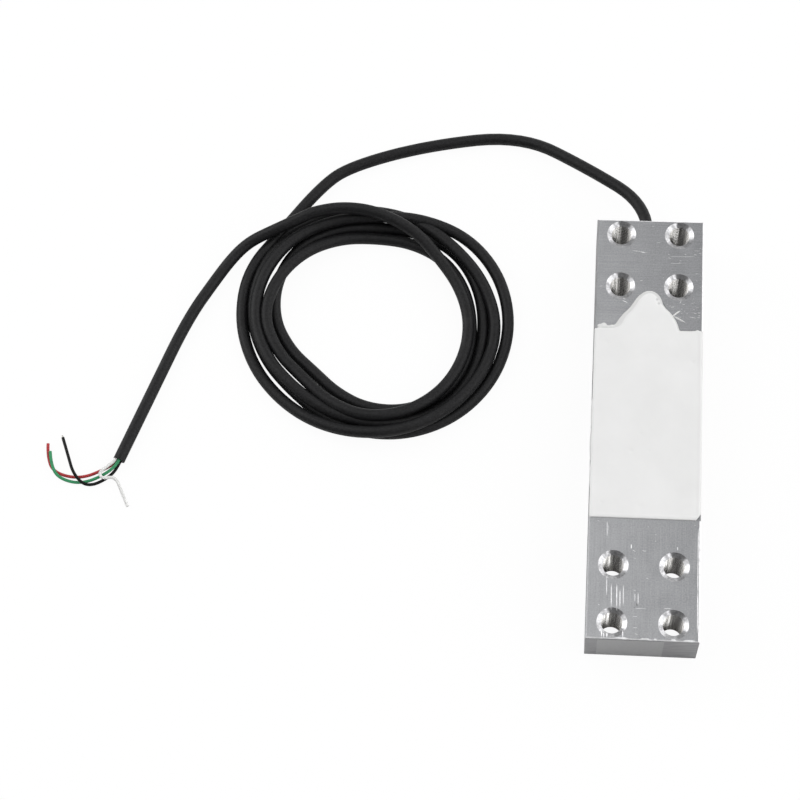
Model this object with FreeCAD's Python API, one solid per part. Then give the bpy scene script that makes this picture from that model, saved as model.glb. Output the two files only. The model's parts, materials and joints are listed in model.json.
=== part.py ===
import FreeCAD, Part
import math
import os

from FreeCAD import Vector

# A single-point weighing load cell: an aluminium bar with a dumb-bell cut-out
# that leaves four thin flexures, foil strain gauges bonded over them, white
# silicone poured over gauges and wiring, and a four-core cable that leaves one
# end, lies in a loose coil and ends in four bare cores.
#
# Frame: +Y runs along the bar towards the cable end, +Z is up, and the origin
# is the middle of the bar's underside. Millimetres.

# Bar
bar_length = 150.0
bar_width = 37.0
bar_height = 22.0
long_edge_bevel = 0.5
end_edge_bevel = 0.35

# Tapped mounting holes, four at each end, drawn at the thread's major diameter
bolt_diameter = 8.0
bolt_spacing_across = 20.0
bolt_row_from_end = 5.5
bolt_spacing_along = 19.5
countersink_width = 1.0
countersink_depth = 0.6

# Dumb-bell cut-out that makes the four flexures
flexure_hole_diameter = 14.0
flexure_hole_from_window_end = 15.9
flexure_slot_height = 5.6

# Gauge windows, milled across the full width on top and underneath
window_length = 67.8
window_depth = 1.6

# Wiring pocket at the cable end of the top window, bell shaped in plan
pocket_half_base = 9.7
pocket_overlap = 1.0
pocket_shoulder_reach = 2.5
pocket_reach = 13.7
pocket_nose_radius = 4.4
pocket_below_cable = 2.6
shoulder_taper = 0.3

# Silicone: a soft lip stands proud of the top face; only its tongue spreads past the pocket
lip_height = 0.6
lip_edge_bevel = 0.4
tongue_spread = 0.8
missing_corner_across = 1.7
missing_corner_along = 2.4
underside_fill_shy = 0.2

# Cable, its bore and the seal around it
cable_diameter = 4.2
seal_wall = 0.7
jacket_in_pocket = 2.6
seal_length = 23.0
seal_proud = 0.1
held_length = 15.0

# Holes that take gauge leads through the bar to the underside
wiring_hole_diameter = 3.4
wiring_hole_x = 12.5
wiring_hole_from_window_end = 4.0

# Strain gauges: film, foil grid and two solder tabs
gauge_film = (7.0, 10.0, 0.15)
gauge_grid_length = 5.0
gauge_grid_strands = 6
gauge_strand_width = 0.3
gauge_strand_pitch = 0.6
gauge_foil = 0.1
gauge_tab = (1.4, 1.4, gauge_foil)
gauge_tab_offset = 3.6
gauge_tab_x = 0.9

# Terminal board and what is soldered on it
board_size = (20.0, 6.0, 0.5)
board_from_window_end = 6.0
pad_size = (2.0, 1.4, 0.1)
pad_pitch = 2.4
gauge_pad_count = 8
core_pad_count = 4
pad_row_offset = 1.9
resistor_size = (2.0, 1.2, 0.45)
resistor_from_board_middle = 1.2

# Flat twin leads of the gauges
lead_width = 0.8
lead_thickness = 0.3
underside_lane_x = 6.0

# Cores of the cable; the upper pair climbs first, so the lower pair stays clear
core_diameter = 1.1
core_gap = 0.14
core_straight = {1: 1.0, -1: 3.5}
core_crest_past_window = {1: 3.5, -1: 1.2}

# Identification foil on the plain end
label_width = 21.7
label_thickness = 0.1
label_x = -3.7
label_margin = 1.0

# Coil: an elliptical ring, with a corner where the lead and the tail cross
coil_centre = (-96.3, 42.5)
coil_half = (49.6, 46.0)
coil_hole_centre = (-97.6, 41.3)
coil_hole_half = (33.0, 31.0)
coil_height = 9.6
coil_edge_bevel = 2.0
coil_corner = [(-105.0, 80.0), (-112.0, 88.0), (-126.0, 86.5), (-145.0, 75.0), (-139.0, 62.0)]

# Places that follow from the sizes above
margin = 1.0
half_length = bar_length / 2
half_width = bar_width / 2
half_window = window_length / 2
window_floor = bar_height - window_depth
flexure_hole_offset = half_window - flexure_hole_from_window_end
cable_height = bar_height / 2
pocket_apex = half_window + pocket_reach
pocket_floor = cable_height - pocket_below_cable
jacket_stop = pocket_apex - jacket_in_pocket
seal_start = half_length - seal_length
held_end = half_length - held_length
wiring_hole_y = half_window - wiring_hole_from_window_end
board_y = half_window - board_from_window_end
board_top = window_floor + board_size[2]
pad_top = board_top + pad_size[2]
inner_pair_x = 2 * pad_pitch
outer_pair_x = 3 * pad_pitch
cable_bore_diameter = cable_diameter + 2 * seal_wall
core_offset = (core_diameter + core_gap) / 2

# Route of the cable on the table, height of its middle last
bend_share = 0.45
cable_rest = cable_diameter / 2
lead_route = [
    (0.0, held_end, cable_height),
    (0.0, half_length + 12.5, cable_height),
    (-22.0, 102.2, 6.5),
    (-47.0, 117.5, cable_rest),
    (-82.0, 112.5, cable_rest),
    (-109.0, 103.5, cable_rest),
    (-126.0, 84.0, cable_rest),
]
tail_route = [
    (-133.0, 78.0, 5.0),
    (-147.5, 68.0, 3.0),
    (-163.4, 41.3, cable_rest),
    (-172.7, 14.0, cable_rest),
    (-182.4, -13.3, cable_rest),
]

# Bare cores at the free end: each leaves the end of the jacket beside the others
free_core_routes = {
    "wire_red": ((1, -1), [(-186.2, -16.0, 1.2), (-195.5, -20.3, 0.6), (-206.0, -18.6, 0.6),
                           (-208.5, -7.7, 0.9)]),
    "wire_green": ((-1, 1), [(-185.8, -18.4, 2.4), (-195.0, -22.3, 0.6), (-204.9, -20.2, 1.7),
                             (-207.1, -10.9, 2.0)]),
    "wire_black": ((-1, -1), [(-184.8, -19.1, 0.9), (-192.6, -23.5, 1.2), (-197.6, -19.6, 3.2),
                              (-200.5, -12.3, 2.6), (-203.4, -5.4, 1.2)]),
    "wire_white": ((1, 1), [(-185.9, -15.9, 3.2), (-188.7, -18.5, 3.4), (-187.4, -20.7, 3.3),
                            (-182.9, -19.4, 2.6), (-180.2, -25.0, 1.2), (-177.9, -29.6, 0.6)]),
}


def box(x0, x1, y0, y1, z0, z1):
    return Part.makeBox(x1 - x0, y1 - y0, z1 - z0, Vector(x0, y0, z0))


def centred_box(size, x, y, z0):
    return box(x - size[0] / 2, x + size[0] / 2, y - size[1] / 2, y + size[1] / 2, z0, z0 + size[2])


def rod(diameter, start, end):
    start = Vector(*start)
    direction = Vector(*end) - start
    return Part.makeCylinder(diameter / 2, direction.Length, start, direction)


def cable_rod(diameter, y0, y1):
    """A rod along the middle of the cable bore."""
    return rod(diameter, (0, y0, cable_height), (0, y1, cable_height))


def prism(points, z0, z1):
    corners = [Vector(x, y, z0) for x, y in points]
    outline = Part.makePolygon(corners + corners[:1])
    return Part.Face(outline).extrude(Vector(0, 0, z1 - z0))


def bell(spread, z0, z1):
    """The pocket's bell outline, extruded: upright shoulders, slanted flanks, a round nose."""
    half_base = pocket_half_base + spread
    upper = half_base - shoulder_taper
    start = half_window - pocket_overlap
    shoulder = half_window + pocket_shoulder_reach + spread / 2
    nose_centre = pocket_apex - pocket_nose_radius
    nose_radius = pocket_nose_radius + spread
    to_shoulder = Vector(upper, shoulder - nose_centre, 0)
    lean = math.atan2(to_shoulder.y, to_shoulder.x) + math.acos(nose_radius / to_shoulder.Length)
    touch = Vector(nose_radius * math.cos(lean), nose_centre + nose_radius * math.sin(lean), z0)
    mirrored_touch = Vector(-touch.x, touch.y, z0)
    corners = [
        mirrored_touch,
        Vector(-upper, shoulder, z0),
        Vector(-half_base, start, z0),
        Vector(half_base, start, z0),
        Vector(upper, shoulder, z0),
        touch,
    ]
    edges = [Part.makeLine(a, b) for a, b in zip(corners, corners[1:])]
    nose = Vector(0, nose_centre + nose_radius, z0)
    edges.append(Part.Arc(touch, nose, mirrored_touch).toShape())
    return Part.Face(Part.Wire(edges)).extrude(Vector(0, 0, z1 - z0))


def cord(points, diameter, name):
    """A round tube along straight runs joined by the largest tangent arcs they allow."""
    points = [Vector(*p) for p in points]
    edges = []
    radii = []
    here = points[0]
    for before, corner, after in zip(points, points[1:], points[2:]):
        back = (before - corner).normalize()
        ahead = (after - corner).normalize()
        half_turn = (math.pi - back.getAngle(ahead)) / 2
        trim = bend_share * min((before - corner).Length, (after - corner).Length)
        radius = trim / math.tan(half_turn)
        bisector = (back + ahead).normalize()
        middle = corner + bisector * (radius / math.cos(half_turn) - radius)
        edges.append(Part.LineSegment(here, corner + back * trim).toShape())
        edges.append(Part.Arc(corner + back * trim, middle, corner + ahead * trim).toShape())
        here = corner + ahead * trim
        radii.append(round(radius, 1))
    edges.append(Part.LineSegment(here, points[-1]).toShape())
    path = Part.Wire(edges)
    ring = Part.makeCircle(diameter / 2, points[0], points[1] - points[0])
    tube = path.makePipeShell([Part.Wire(ring)], True, False)
    expected = path.Length * math.pi * diameter ** 2 / 4
    print(name, "length", round(path.Length, 1), "radii", radii, "volume", round(tube.Volume / expected, 4))
    return tube


def ribbon(points):
    """A flat twin lead along level runs and upright drops."""
    pieces = []
    for start, end in zip(points, points[1:]):
        start = Vector(*start)
        run = Vector(*end) - start
        if run.z:
            size = (lead_width, lead_width, abs(run.z) + lead_thickness)
            lowest = min(start.z, start.z + run.z) - lead_thickness / 2
            pieces.append(centred_box(size, start.x, start.y, lowest))
        else:
            corner = Vector(-lead_width / 2, -lead_width / 2, -lead_thickness / 2)
            plate = Part.makeBox(run.Length + lead_width, lead_width, lead_thickness, corner)
            plate.rotate(Vector(), Vector(0, 0, 1), math.degrees(math.atan2(run.y, run.x)))
            plate.translate(start)
            pieces.append(plate)
    return pieces[0].fuse(pieces[1:]).removeSplitter()


def mitred_rod(points, diameter):
    path = Part.makePolygon([Vector(*p) for p in points])
    ring = Part.makeCircle(diameter / 2, Vector(*points[0]), Vector(*points[1]) - Vector(*points[0]))
    right_corners = 1
    return path.makePipeShell([Part.Wire(ring)], True, False, right_corners)


def bolt_positions():
    for end in (-1, 1):
        for row in (0, 1):
            for side in (-1, 1):
                along = half_length - bolt_row_from_end - row * bolt_spacing_along
                yield side * bolt_spacing_across / 2, end * along


def bar():
    body = box(-half_width, half_width, -half_length, half_length, 0, bar_height)
    long_edges = [e for e in body.Edges if e.BoundBox.XLength < 1e-6 and e.BoundBox.ZLength < 1e-6]
    body = body.makeChamfer(long_edge_bevel, long_edges)
    end_edges = [e for e in body.Edges if e.BoundBox.YLength < 1e-6 and e.BoundBox.ZLength < 1e-6]
    body = body.makeChamfer(end_edge_bevel, end_edges)
    beyond = half_width + margin
    middle = bar_height / 2
    cutters = []
    narrow = bolt_diameter / 2
    wide = narrow + countersink_width
    for x, y in bolt_positions():
        cutters.append(rod(bolt_diameter, (x, y, -margin), (x, y, bar_height + margin)))
        sink_floor = Vector(x, y, bar_height - countersink_depth)
        cutters.append(Part.makeCone(narrow, wide, countersink_depth, sink_floor))
        cutters.append(Part.makeCone(wide, narrow, countersink_depth, Vector(x, y, 0)))
    for end in (-1, 1):
        y = end * flexure_hole_offset
        cutters.append(rod(flexure_hole_diameter, (-beyond, y, middle), (beyond, y, middle)))
    cutters.append(box(-beyond, beyond, -flexure_hole_offset, flexure_hole_offset,
                       middle - flexure_slot_height / 2, middle + flexure_slot_height / 2))
    for z0, z1 in ((window_floor, bar_height + margin), (-margin, window_depth)):
        cutters.append(box(-beyond, beyond, -half_window, half_window, z0, z1))
    cutters.append(bell(0, pocket_floor, bar_height + margin))
    cutters.append(cable_rod(cable_bore_diameter, pocket_apex - margin, half_length + margin))
    for side in (-1, 1):
        x = side * wiring_hole_x
        cutters.append(rod(wiring_hole_diameter, (x, wiring_hole_y, -margin),
                           (x, wiring_hole_y, bar_height + margin)))
    return body.cut(cutters)


def gauge_places():
    """Name, middle along the bar, floor height and outward direction of each gauge."""
    for end_name, end in (("far", 1), ("near", -1)):
        yield "top_" + end_name, end * flexure_hole_offset, window_floor, 1
        yield "bottom_" + end_name, end * flexure_hole_offset, window_depth, -1


def layer(size, x, y, floor, outward, raised):
    """A flat plate lying outward of a window floor, with a gap of raised below it."""
    near = floor + outward * raised
    far = near + outward * size[2]
    return centred_box(size, x, y, min(near, far))


def foil_grid(y, floor, outward):
    """Foil grid: parallel strands joined end to end, with two solder tabs."""
    half_span = (gauge_grid_strands - 1) / 2
    plates = []
    strand = (gauge_strand_width, gauge_grid_length, gauge_foil)
    for i in range(gauge_grid_strands):
        plates.append((strand, (i - half_span) * gauge_strand_pitch, y))
    turn = (gauge_strand_pitch + gauge_strand_width, gauge_strand_width, gauge_foil)
    for i in range(gauge_grid_strands - 1):
        end = -1 if i % 2 == 0 else 1
        turn_y = y + end * (gauge_grid_length - gauge_strand_width) / 2
        plates.append((turn, (i + 0.5 - half_span) * gauge_strand_pitch, turn_y))
    neck = (gauge_strand_width, gauge_tab_offset, gauge_foil)
    for side in (-1, 1):
        plates.append((gauge_tab, side * gauge_tab_x, y + gauge_tab_offset))
        plates.append((neck, side * half_span * gauge_strand_pitch, y + gauge_tab_offset / 2))
    solids = [layer(size, x, plate_y, floor, outward, gauge_film[2]) for size, x, plate_y in plates]
    return solids[0].fuse(solids[1:]).removeSplitter()


def foil_cover(y, floor, outward):
    """The plain block that the silicone leaves free for one foil grid."""
    width = (gauge_grid_strands - 1) * gauge_strand_pitch + gauge_strand_width
    start = y - gauge_grid_length / 2
    end = y + gauge_tab_offset + gauge_tab[1] / 2
    size = (width, end - start, gauge_foil)
    return layer(size, 0, (start + end) / 2, floor, outward, gauge_film[2])


def pad_x(index, count):
    return (index - (count - 1) / 2) * pad_pitch


def terminal_pads():
    """Gauge pads along the front of the board, core pads along its back."""
    pads = []
    for count, row in ((gauge_pad_count, -1), (core_pad_count, 1)):
        for i in range(count):
            pads.append(centred_box(pad_size, pad_x(i, count), board_y + row * pad_row_offset, board_top))
    return Part.makeCompound(pads)


def gauge_leads():
    """Flat twin leads from pairs of pads on the board to the tabs of the four gauges."""
    level = pad_top + lead_thickness / 2
    on_top_tab = window_floor + gauge_film[2] + gauge_foil + lead_thickness / 2
    below = window_depth - gauge_film[2] - gauge_foil - lead_thickness / 2
    front = board_y - pad_row_offset
    far_tab = flexure_hole_offset + gauge_tab_offset
    near_tab = -flexure_hole_offset + gauge_tab_offset
    near_turn = near_tab + inner_pair_x
    routes = {
        "top_far": [(0, front, level), (0, far_tab, level), (0, far_tab, on_top_tab)],
        "top_near": [(inner_pair_x, front, level), (inner_pair_x, near_turn, level), (0, near_tab, level),
                     (0, near_tab, on_top_tab)],
        "bottom_far": [(outer_pair_x, front, level), (wiring_hole_x, wiring_hole_y, level),
                       (wiring_hole_x, wiring_hole_y, below), (0, far_tab, below)],
        "bottom_near": [(-outer_pair_x, front, level), (-wiring_hole_x, wiring_hole_y, level),
                        (-wiring_hole_x, wiring_hole_y, below), (-underside_lane_x, far_tab, below),
                        (-underside_lane_x, near_turn, below), (0, near_tab, below)],
    }
    for name, route in routes.items():
        yield name, ribbon(route)


def inner_cores():
    """Cable cores from the end of the jacket up to the back row of pads."""
    on_pads = pad_top + core_diameter / 2
    back = board_y + pad_row_offset
    corners = {"black": (-1, -1), "green": (-1, 1), "white": (1, 1), "red": (1, -1)}
    for i, (colour, (side, level)) in enumerate(corners.items()):
        x = side * core_offset
        z = cable_height + level * core_offset
        over = pad_x(i, core_pad_count)
        route = [(x, jacket_stop, z), (x, jacket_stop - core_straight[level], z),
                 (over, half_window + core_crest_past_window[level], on_pads), (over, back, on_pads)]
        yield colour, mitred_rod(route, core_diameter)


def silicone_top():
    fill = box(-half_width, half_width, -half_window, half_window, window_floor, bar_height)
    pocket = bell(0, pocket_floor, bar_height)
    throat = cable_rod(cable_bore_diameter, pocket_apex - margin, seal_start)
    lip_top = bar_height + lip_height
    lip = box(-half_width, half_width, -half_window, half_window, bar_height, lip_top)
    lip = lip.fuse(bell(tongue_spread, bar_height, lip_top)).removeSplitter()
    rim = [e for e in lip.Edges if e.BoundBox.ZMin > bar_height + lip_height / 2]
    lip = lip.makeChamfer(lip_edge_bevel, rim)
    whole = fill.fuse([pocket, throat, lip]).removeSplitter()
    corner = [
        (half_width + margin, -half_window - margin),
        (half_width + margin, -half_window + missing_corner_along),
        (half_width, -half_window + missing_corner_along),
        (half_width - missing_corner_across, -half_window),
        (half_width - missing_corner_across, -half_window - margin),
    ]
    return whole.cut(prism(corner, window_floor - margin, lip_top + margin))


def silicone_bottom():
    fill = box(-half_width, half_width, -half_window, half_window, underside_fill_shy, window_depth)
    plugs = [rod(wiring_hole_diameter, (side * wiring_hole_x, wiring_hole_y, window_depth),
                 (side * wiring_hole_x, wiring_hole_y, window_floor)) for side in (-1, 1)]
    return fill.fuse(plugs)


def cable_seal():
    sleeve = cable_rod(cable_bore_diameter, seal_start, half_length + seal_proud)
    return sleeve.cut(cable_rod(cable_diameter, seal_start - margin, half_length + margin))


def ellipse_prism(centre, half, height):
    ellipse = Part.Ellipse(Vector(centre[0], centre[1], 0), half[0], half[1]).toShape()
    return Part.Face(Part.Wire(ellipse)).extrude(Vector(0, 0, height))


def coil():
    ring = ellipse_prism(coil_centre, coil_half, coil_height)
    ring = ring.cut(ellipse_prism(coil_hole_centre, coil_hole_half, coil_height))
    rim = [e for e in ring.Edges if e.BoundBox.ZMin > coil_height - 1e-6]
    ring = ring.makeChamfer(coil_edge_bevel, rim)
    return ring.fuse(prism(coil_corner, 0, coil_height - coil_edge_bevel)).removeSplitter()


def free_cores():
    """Routes of the four bare cores, from the end face of the jacket outwards."""
    end = Vector(*tail_route[-1])
    direction = (end - Vector(*tail_route[-2])).normalize()
    sideways = Vector(direction.y, -direction.x, 0)
    for name, ((side, level), far_points) in free_core_routes.items():
        shift = sideways * (side * core_offset) + Vector(0, 0, level * core_offset)
        yield name, [tuple(end + shift)] + far_points


def end_label():
    left = label_x - label_width / 2
    return box(left, left + label_width, -half_length - label_thickness, -half_length,
               label_margin, bar_height - label_margin)


def cable_and_cores():
    """The held end, lead, coil and tail of the cable, and the four bare cores at its end."""
    wound = coil()
    yield "cable_entry", cable_rod(cable_diameter, jacket_stop, held_end)
    yield "cable_lead", cord(lead_route, cable_diameter, "cable_lead").cut(wound)
    yield "cable_coil", wound
    tail = cord(tail_route, cable_diameter, "cable_tail").cut(wound)
    yield "cable_tail", tail
    for name, route in free_cores():
        yield name, cord(route, core_diameter, name).cut(tail)


os.makedirs("parts", exist_ok=True)
nodes = {"beam_body": bar(), "end_label": end_label(), "cable_seal": cable_seal()}
nodes.update(cable_and_cores())

# Everything that the silicone is poured over
embedded = {}
hollows = [nodes["cable_entry"]]
for gauge_name, gauge_y, gauge_floor, gauge_outward in gauge_places():
    embedded["gauge_film_" + gauge_name] = layer(gauge_film, 0, gauge_y, gauge_floor, gauge_outward, 0)
    nodes["gauge_foil_" + gauge_name] = foil_grid(gauge_y, gauge_floor, gauge_outward)
    hollows.append(foil_cover(gauge_y, gauge_floor, gauge_outward))
embedded["terminal_board"] = centred_box(board_size, 0, board_y, window_floor)
embedded["terminal_pads"] = terminal_pads()
for side, resistor in ((-1, "zero_resistor"), (1, "span_resistor")):
    embedded[resistor] = centred_box(resistor_size, side * outer_pair_x,
                                     board_y + resistor_from_board_middle, board_top)
for lead_name, lead in gauge_leads():
    embedded["gauge_lead_" + lead_name] = lead
for colour, core in inner_cores():
    embedded["inner_core_" + colour] = core
nodes.update(embedded)
hollows.extend(embedded.values())
nodes["silicone_top"] = silicone_top().cut(hollows)
nodes["silicone_bottom"] = silicone_bottom().cut(hollows)

for node, shape in nodes.items():
    shape.exportStep("parts/" + node + ".step")
    print(node, len(shape.Solids), round(shape.Volume, 2), shape.isValid())
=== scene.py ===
# %% [markdown]
# # A weighing load cell
# A single-point load cell is an aluminium bar with thin places that bend a little under a weight.
# Strain gauges under white silicone measure the bend, and a black four-core cable takes the signal
# away. This lesson dresses the finished construction: the bar and the hidden pieces stay as they are
# and get their finishes, while the soft things, which are the silicone, the cable and its cores, are
# modelled again as what they are.
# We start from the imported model, because every new piece has to sit where the construction says.
# Everything is in metres: +Y runs along the bar towards the cable, +Z is up, and the origin is under
# the middle of the bar. Points and small sizes are easier to read in millimetres, so they are written
# in millimetres and turned into metres where they are used.

# %% Load the construction
import json
import math
import random

import bmesh
import bpy
from mathutils import Euler, Matrix, Vector, noise


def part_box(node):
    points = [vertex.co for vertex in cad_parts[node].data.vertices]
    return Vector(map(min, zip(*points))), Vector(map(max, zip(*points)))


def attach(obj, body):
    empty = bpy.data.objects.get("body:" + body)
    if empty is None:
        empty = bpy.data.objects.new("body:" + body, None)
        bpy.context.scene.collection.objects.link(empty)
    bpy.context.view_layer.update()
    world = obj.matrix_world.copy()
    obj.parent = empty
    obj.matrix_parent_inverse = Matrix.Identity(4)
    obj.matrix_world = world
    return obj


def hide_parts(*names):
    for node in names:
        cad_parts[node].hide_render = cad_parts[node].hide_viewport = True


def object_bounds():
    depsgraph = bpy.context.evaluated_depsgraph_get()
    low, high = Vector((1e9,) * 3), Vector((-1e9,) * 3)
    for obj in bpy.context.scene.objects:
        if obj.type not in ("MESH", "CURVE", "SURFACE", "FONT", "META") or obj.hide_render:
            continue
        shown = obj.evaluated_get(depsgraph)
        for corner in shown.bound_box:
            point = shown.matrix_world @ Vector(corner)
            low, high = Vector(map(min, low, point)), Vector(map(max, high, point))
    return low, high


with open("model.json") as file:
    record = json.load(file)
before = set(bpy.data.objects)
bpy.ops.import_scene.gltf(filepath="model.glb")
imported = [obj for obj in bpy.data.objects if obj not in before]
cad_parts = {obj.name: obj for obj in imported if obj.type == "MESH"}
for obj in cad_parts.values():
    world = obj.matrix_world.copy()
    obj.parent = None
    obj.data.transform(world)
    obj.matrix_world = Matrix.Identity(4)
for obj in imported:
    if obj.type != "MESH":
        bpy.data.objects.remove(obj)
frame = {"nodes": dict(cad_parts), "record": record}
cad_low, cad_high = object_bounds()
scene = bpy.context.scene


def mm(*values):
    """A point of the bar's frame, given in millimetres, as a vector in metres."""
    return Vector(values) / 1000


bar_low, bar_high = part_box("beam_body")
bar_size = [round(side * 1000, 1) for side in bar_high - bar_low]
print(len(frame["nodes"]), "pieces of construction; the bar measures", bar_size, "mm")

# %% [markdown]
# ## The camera
# The picture looks down on the bar from in front of its plain end. A camera could be aimed with a
# constraint, but three plain angles are easier to keep: they were found from the bar's corners and
# the eight hole rings. The lens is long, so the bar narrows only a little with distance.

# %% Camera
camera_angles = (20.619, 3.574, 3.381)
camera_data = bpy.data.cameras.new("camera")
camera_data.sensor_width = 36
camera_data.lens = 97.37
camera = bpy.data.objects.new("camera", camera_data)
camera.location = mm(-25.45, -251.12, 709.92)
camera.rotation_euler = Euler([math.radians(angle) for angle in camera_angles])
scene.collection.objects.link(camera)
scene.camera = camera
print("camera height", round(camera.location.z, 3), "m, lens", camera_data.lens, "mm")

# %% [markdown]
# ## The cable
# One cable leaves the bar, bends down to the table, lies in five loose turns and runs out to its
# stripped end. A cable keeps its length and bends smoothly, so it is one NURBS spline of order 3 with
# a round bevel. The lead and the tail are a few listed points. The turns come from a loop:
# each turn is described by how far it reaches from the coil's middle at every eighth of a turn, and
# by how high it lies, counted in cable layers, because a turn that crosses another one rides up on it.

# %% Lead and tail
cable_diameter = 4.2
cable_rest = cable_diameter / 2
lead_points = [
    (0.0, 50.0, 11.0),
    (0.0, 66.0, 11.0),
    (-1.5, 87.0, 10.6),
    (-22.0, 102.2, 6.5),
    (-47.0, 117.5, cable_rest),
    (-82.0, 112.1, cable_rest),
    (-109.4, 102.8, cable_rest),
    (-119.2, 94.2, cable_rest),
    (-132.2, 75.8, cable_rest),
]
tail_points = [
    (-109.0, 82.7, 10.5),
    (-119.4, 80.9, 10.0),
    (-124.8, 78.5, 9.0),
    (-130.2, 76.0, 8.0),
    (-135.8, 73.75, 6.5),
    (-141.35, 71.4, 5.0),
    (-145.6, 68.25, 4.0),
    (-149.6, 63.7, 3.0),
    (-153.8, 57.5, cable_rest),
    (-163.1, 41.0, cable_rest),
    (-172.7, 14.0, cable_rest),
    (-182.4, -13.3, cable_rest),
]
print(len(lead_points), "points of the lead and", len(tail_points), "of the tail")

# %% Turns of the coil
nesting = 0.87
layer_step = nesting * cable_diameter
coil_middle = (-97.0, 41.5)
coil_start_angle = 135
turn_reaches = [
    [50.6, 46.6, 42.5, 42.5, 43.5, 43.9, 39.5, 43.2],
    [46.2, 42.7, 37.0, 41.0, 46.2, 48.4, 46.2, 39.2],
    [42.6, 41.5, 36.7, 38.0, 41.4, 39.3, 39.7, 36.6],
    [39.9, 34.4, 26.9, 31.9, 37.4, 35.1, 34.2, 32.4],
    [35.7, 37.9, 31.7, 36.7, 36.8, 34.4, 32.3, 39.0],
]
turn_layers = [
    [0.0, 0.0, 0.2, 1.1, 1.0, 0.4, 1.0, 0.0],
    [0.0, 0.0, 0.0, 0.0, 0.0, 0.0, 0.3, 1.1],
    [1.0, 0.9, 1.1, 0.6, 0.0, 0.0, 0.0, 0.0],
    [0.0, 0.0, 0.0, 0.0, 0.0, 0.0, 0.3, 0.0],
    [0.9, 1.0, 0.8, 1.35, 1.0, 1.1, 1.4, 2.3],
]
points_per_eighth = 2


def between(values, place):
    """A smooth value between the listed ones (Catmull-Rom)."""
    index = min(int(place), len(values) - 2)
    part = place - index
    a, b, c, d = (values[min(max(i, 0), len(values) - 1)] for i in range(index - 1, index + 3))
    bend = 2 * a - 5 * b + 4 * c - d
    return b + part * (c - a + part * (bend + part * (3 * b - a - 3 * c + d))) / 2


def coil_points():
    """Control points of the turns, pushed out a little because the spline passes inside them."""
    reaches = sum(turn_reaches, [])
    layers = sum(turn_layers, [])
    step = math.radians(45 / points_per_eighth)
    push_out = 1 / (0.75 + 0.25 * math.cos(step))
    points = []
    for count in range(1, (len(reaches) - 1) * points_per_eighth + 1):
        place = count / points_per_eighth
        index = min(int(place), len(layers) - 2)
        layer = layers[index] + (place - index) * (layers[index + 1] - layers[index])
        reach = between(reaches, place) * push_out
        angle = math.radians(coil_start_angle) + count * step
        x = coil_middle[0] + reach * math.cos(angle)
        y = coil_middle[1] + reach * math.sin(angle)
        points.append((x, y, cable_rest + layer_step * layer))
    return points


# %% Round cord


def round_cord(name, points, diameter, sides=8, smoothness=8):
    """A round cord along one smooth NURBS spline; points and diameter in millimetres."""
    curve = bpy.data.curves.new(name, "CURVE")
    curve.dimensions = "3D"
    curve.bevel_depth = 1
    curve.bevel_resolution = sides
    curve.use_fill_caps = True
    spline = curve.splines.new("NURBS")
    spline.points.add(len(points) - 1)
    for target, point in zip(spline.points, points):
        target.co = (*mm(*point), 1)
        target.radius = diameter / 2000
    spline.order_u = 3
    spline.use_endpoint_u = True
    spline.resolution_u = smoothness
    cord = bpy.data.objects.new(name, curve)
    scene.collection.objects.link(cord)
    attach(cord, "root")
    print(name, len(points), "points, about", round(spline.calc_length() * 1000), "mm")
    return cord


cable = round_cord("signal_cable", lead_points + coil_points() + tail_points, cable_diameter)
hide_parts("cable_entry", "cable_lead", "cable_coil", "cable_tail")

# %% [markdown]
# ## The four bare cores
# At the free end the jacket is stripped and four thin cores come out of it. They are limp, so each one
# curls its own way, and the white one folds back over the others. Each spline starts inside the
# jacket, beside its neighbours, so that no core seems glued to the cut.

# %% Cores
core_diameter = 1.1
core_offset = 0.62
hidden_start = 10.0
jacket_end = Vector(tail_points[-1])
along_tail = (jacket_end - Vector(tail_points[-2])).normalized()
across_tail = Vector((along_tail.y, -along_tail.x, 0))
core_routes = {
    "red": ((1, -1), [(-186.2, -16.0, 1.2), (-195.5, -20.3, 0.6), (-205.3, -18.4, 0.6),
                      (-208.2, -12.5, 0.8), (-208.5, -7.7, 0.9)]),
    "green": ((-1, 1), [(-185.8, -18.4, 2.4), (-195.0, -22.2, 0.6), (-203.2, -20.6, 1.5),
                        (-206.4, -15.6, 1.9), (-207.1, -10.9, 2.0)]),
    "black": ((-1, -1), [(-184.8, -19.1, 0.9), (-192.6, -23.5, 1.2), (-197.6, -19.6, 3.2),
                         (-200.5, -12.3, 2.6), (-203.4, -5.4, 1.2)]),
    "white": ((1, 1), [(-185.9, -15.9, 3.2), (-188.7, -18.5, 3.4), (-187.4, -20.7, 3.3),
                       (-182.9, -19.4, 2.6), (-180.2, -25.0, 1.2), (-177.9, -29.6, 0.6)]),
}
cores = {}
for colour, ((side, level), far_points) in core_routes.items():
    mouth = jacket_end + across_tail * (side * core_offset) + Vector((0, 0, level * core_offset))
    inside = mouth - along_tail * hidden_start
    core = round_cord("core_" + colour + "_wire", [inside, mouth] + far_points, core_diameter, sides=5)
    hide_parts("wire_" + colour)
    cores[colour] = core

# %% [markdown]
# ## A small kit for finishes
# Every finish here is a Principled shader fed by a few procedural textures, so that it can be seen
# from any side and at any distance. The node code would repeat itself, so a small class holds a
# material and the few things that we do to it: speckle it, spread a value over a range, shade it
# between two colours, draw out its highlights, and bump it.

# %% The finish kit


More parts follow.
